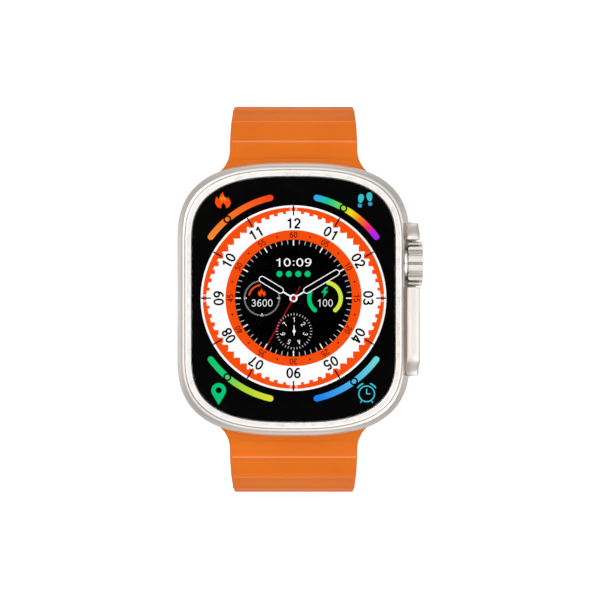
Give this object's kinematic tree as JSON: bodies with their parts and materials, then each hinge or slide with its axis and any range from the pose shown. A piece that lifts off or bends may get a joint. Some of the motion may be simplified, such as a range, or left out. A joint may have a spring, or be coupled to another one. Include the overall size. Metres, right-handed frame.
{
  "type": "gps running watch",
  "caption": "Square-cased GPS sports watch with guarded crown, side and action buttons, and a ribbed orange strap closed in a loop by a two-prong buckle and keeper.",
  "frame": {"origin": "middle of the bounding box, on the table that the fastened watch stands on; the case's own centre line is 1.15 mm to the -X side, because the crown side reaches farther", "axes": "+Z out of the dial, +Y to 12 o'clock, +X to the crown side"},
  "size_m": [0.044, 0.0716, 0.064],
  "materials": {
    "titanium": "fine bead-blasted titanium, warm grey",
    "polished_titanium": "bright lip, finely brushed",
    "crystal": "flat sapphire-like glass, clear",
    "display": "black display with a lit dial",
    "gasket": "black seal",
    "flex": "amber flexible circuit",
    "inner_frame": "black moulded frame",
    "board": "green solder mask",
    "shield": "tinned shielding",
    "antenna": "cream ceramic",
    "battery": "dark foil pouch",
    "module": "black module",
    "mesh": "fine dark mesh",
    "back": "dark satin ceramic",
    "screw": "satin steel",
    "window": "dark domed glass",
    "copper": "enamelled copper winding",
    "leds": "clear emitters and receivers",
    "steel": "turned steel",
    "strap": "orange moulded fluoroelastomer, soft satin",
    "lug": "glass-filled insert, orange like the strap"
  },
  "bodies": {
    "case": {"case_body": "titanium", "front_bezel": "polished_titanium", "cover_crystal": "crystal", "crystal_gasket": "gasket", "display_panel": "display", "display_flex": "flex", "mid_frame": "inner_frame", "main_board": "board", "processor_shield": "shield", "gps_antenna": "antenna", "battery": "battery", "battery_flex": "flex", "haptic_motor": "shield", "loudspeaker": "module", "speaker_mesh": "mesh", "microphone": "shield", "altimeter_sensor": "shield", "back_plate": "back", "back_gasket": "gasket", "back_screws": "screw", "sensor_ring": "polished_titanium", "sensor_window": "window", "sensor_board": "board", "sensor_leds": "leds", "sensor_flex": "flex", "charging_coil": "copper", "crown_tube": "polished_titanium", "crown_switch": "module", "side_button_seal": "gasket", "side_button_switch": "module", "action_button_seal": "gasket", "action_button_switch": "module"},
    "band": {"lug_top": "lug", "lug_bottom": "lug", "latch_pins": "steel", "latch_springs": "steel", "strap_short": "strap", "strap_long": "strap", "buckle_frame": "titanium", "buckle_bar": "steel", "buckle_tongue": "titanium"},
    "keeper": {"keeper": "titanium"},
    "crown_plunger": {"crown_thrust_plate": "steel"},
    "crown": {"crown_knob": "polished_titanium", "crown_cap": "titanium", "crown_stem": "steel", "crown_seals": "gasket", "crown_encoder_wheel": "module"},
    "side_button": {"side_button": "titanium"},
    "action_button": {"action_button": "titanium"},
    "release_top": {"release_button_top": "titanium"},
    "release_bottom": {"release_button_bottom": "titanium"}
  },
  "joints": [
    {"name": "crown_press", "type": "slide", "parent": "case", "child": "crown_plunger", "axis": [-1, 0, 0], "range_m": [0, 0.0005], "stiffness_N_per_m": 900},
    {"name": "crown_turn", "type": "hinge", "parent": "crown_plunger", "child": "crown", "pos_m": [0.01935, 0.0064, 0.0578], "axis": [1, 0, 0], "continuous": true},
    {"name": "side_button_press", "type": "slide", "parent": "case", "child": "side_button", "axis": [-1, 0, 0], "range_m": [0, 0.00035], "stiffness_N_per_m": 900},
    {"name": "action_button_press", "type": "slide", "parent": "case", "child": "action_button", "axis": [1, 0, 0], "range_m": [0, 0.0003], "stiffness_N_per_m": 900},
    {"name": "release_top_press", "type": "slide", "parent": "case", "child": "release_top", "axis": [0, 0, 1], "range_m": [0, 0.0006], "stiffness_N_per_m": 500},
    {"name": "release_bottom_press", "type": "slide", "parent": "case", "child": "release_bottom", "axis": [0, 0, 1], "range_m": [0, 0.0006], "stiffness_N_per_m": 500},
    {"name": "band_slide", "type": "slide", "parent": "case", "child": "band", "axis": [1, 0, 0], "range_m": [-0.028, 0.028]},
    {"name": "keeper_slide", "type": "slide", "parent": "band", "child": "keeper", "axis": [0, 1, 0], "range_m": [-0.0025, 0.003]}
  ]
}
